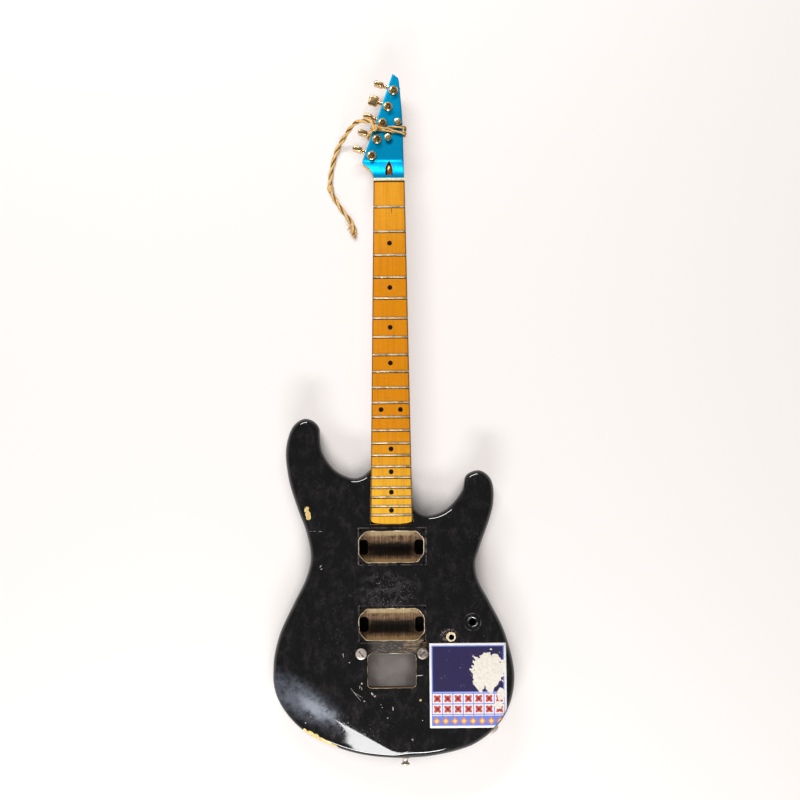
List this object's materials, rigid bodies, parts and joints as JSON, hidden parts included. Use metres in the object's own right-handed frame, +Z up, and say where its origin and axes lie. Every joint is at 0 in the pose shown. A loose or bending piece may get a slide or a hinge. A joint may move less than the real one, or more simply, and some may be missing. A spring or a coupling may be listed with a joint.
{
  "type": "broken electric guitar",
  "caption": "Broken solid-body electric guitar lying on its back: worn black body with empty routs, amber maple neck, snapped blue headstock with turning gold tuners, tied twine.",
  "frame": {"origin": "on the floor under the middle of the guitar's box, without the twine", "axes": "+Y along the neck from the body to the headstock, +Z up from the body's back through its top, +X to the player's right as the picture shows it"},
  "size_m": [0.321, 0.94, 0.0562],
  "materials": {
    "black_lacquer": "gloss black lacquer, scratched, chipped to bare wood",
    "maple_lacquer": "amber gloss lacquer on maple, blue metallic paint on the headstock's face",
    "fret_wire": "worn nickel silver",
    "gold_plate": "worn gold plate, tarnished",
    "worn_steel": "dull nickel plate with rust and grime",
    "nickel_plate": "scratched nickel plate",
    "brass": "tarnished brass",
    "bone": "yellowed bone",
    "black_plastic": "moulded matt black",
    "sticker_paper": "printed paper, torn and scuffed",
    "sisal": "two-ply twine, dry and hairy"
  },
  "bodies": {
    "guitar": {"body": "black_lacquer", "neck": "maple_lacquer", "nut": "bone", "truss_rod": "brass", "fret_01": "fret_wire", "fret_02": "fret_wire", "fret_03": "fret_wire", "fret_04": "fret_wire", "fret_05": "fret_wire", "fret_06": "fret_wire", "fret_07": "fret_wire", "fret_08": "fret_wire", "fret_09": "fret_wire", "fret_10": "fret_wire", "fret_11": "fret_wire", "fret_12": "fret_wire", "fret_13": "fret_wire", "fret_14": "fret_wire", "fret_15": "fret_wire", "fret_16": "fret_wire", "fret_17": "fret_wire", "fret_18": "fret_wire", "fret_19": "fret_wire", "fret_20": "fret_wire", "fret_21": "fret_wire", "tuner_1_housing": "gold_plate", "tuner_1_bushing": "gold_plate", "tuner_2_housing": "gold_plate", "tuner_2_bushing": "gold_plate", "tuner_3_housing": "gold_plate", "tuner_3_bushing": "gold_plate", "tuner_4_housing": "gold_plate", "tuner_4_bushing": "gold_plate", "tuner_5_housing": "gold_plate", "tuner_5_bushing": "gold_plate", "string_tree_1": "gold_plate", "string_tree_2": "gold_plate", "bridge_stud_left": "worn_steel", "bridge_stud_right": "worn_steel", "strap_button": "worn_steel", "output_jack": "worn_steel", "control_cover": "black_plastic", "sticker": "sticker_paper", "neck_plate": "nickel_plate", "neck_screw_1": "worn_steel", "neck_screw_2": "worn_steel", "neck_screw_3": "worn_steel", "neck_screw_4": "worn_steel", "twine_lashing": "sisal", "twine_tail": "sisal"},
    "tuner_1_button": {"tuner_1_button": "gold_plate"},
    "tuner_1_post": {"tuner_1_post": "gold_plate"},
    "tuner_2_button": {"tuner_2_button": "gold_plate"},
    "tuner_2_post": {"tuner_2_post": "gold_plate"},
    "tuner_3_button": {"tuner_3_button": "gold_plate"},
    "tuner_3_post": {"tuner_3_post": "gold_plate"},
    "tuner_4_button": {"tuner_4_button": "gold_plate"},
    "tuner_4_post": {"tuner_4_post": "gold_plate"},
    "tuner_5_button": {"tuner_5_button": "gold_plate"},
    "tuner_5_post": {"tuner_5_post": "gold_plate"}
  },
  "joints": [
    {"name": "tuner_1_button_turn", "type": "hinge", "parent": "guitar", "child": "tuner_1_button", "pos_m": [-0.02276, 0.36066, 0.0237], "axis": [-0.9497, 0.3132, 0], "continuous": true},
    {"name": "tuner_1_post_turn", "type": "hinge", "parent": "guitar", "child": "tuner_1_post", "pos_m": [-0.02502, 0.35382, 0.0292], "axis": [0, 0, 1], "continuous": true},
    {"name": "tuner_2_button_turn", "type": "hinge", "parent": "guitar", "child": "tuner_2_button", "pos_m": [-0.01518, 0.38365, 0.0237], "axis": [-0.9497, 0.3132, 0], "continuous": true},
    {"name": "tuner_2_post_turn", "type": "hinge", "parent": "guitar", "child": "tuner_2_post", "pos_m": [-0.01744, 0.37681, 0.0292], "axis": [0, 0, 1], "continuous": true},
    {"name": "tuner_3_button_turn", "type": "hinge", "parent": "guitar", "child": "tuner_3_button", "pos_m": [-0.0076, 0.40663, 0.0237], "axis": [-0.9497, 0.3132, 0], "continuous": true},
    {"name": "tuner_3_post_turn", "type": "hinge", "parent": "guitar", "child": "tuner_3_post", "pos_m": [-0.00986, 0.39979, 0.0292], "axis": [0, 0, 1], "continuous": true},
    {"name": "tuner_4_button_turn", "type": "hinge", "parent": "guitar", "child": "tuner_4_button", "pos_m": [-0.00003, 0.42961, 0.0237], "axis": [-0.9497, 0.3132, 0], "continuous": true},
    {"name": "tuner_4_post_turn", "type": "hinge", "parent": "guitar", "child": "tuner_4_post", "pos_m": [-0.00228, 0.42277, 0.0292], "axis": [0, 0, 1], "continuous": true},
    {"name": "tuner_5_button_turn", "type": "hinge", "parent": "guitar", "child": "tuner_5_button", "pos_m": [0.00755, 0.45259, 0.0237], "axis": [-0.9497, 0.3132, 0], "continuous": true},
    {"name": "tuner_5_post_turn", "type": "hinge", "parent": "guitar", "child": "tuner_5_post", "pos_m": [0.0053, 0.44576, 0.0292], "axis": [0, 0, 1], "continuous": true}
  ],
  "couplings": [
    {"joint": "tuner_1_post_turn", "follows": "tuner_1_button_turn", "ratio": -0.071429},
    {"joint": "tuner_2_post_turn", "follows": "tuner_2_button_turn", "ratio": -0.071429},
    {"joint": "tuner_3_post_turn", "follows": "tuner_3_button_turn", "ratio": -0.071429},
    {"joint": "tuner_4_post_turn", "follows": "tuner_4_button_turn", "ratio": -0.071429},
    {"joint": "tuner_5_post_turn", "follows": "tuner_5_button_turn", "ratio": -0.071429}
  ]
}
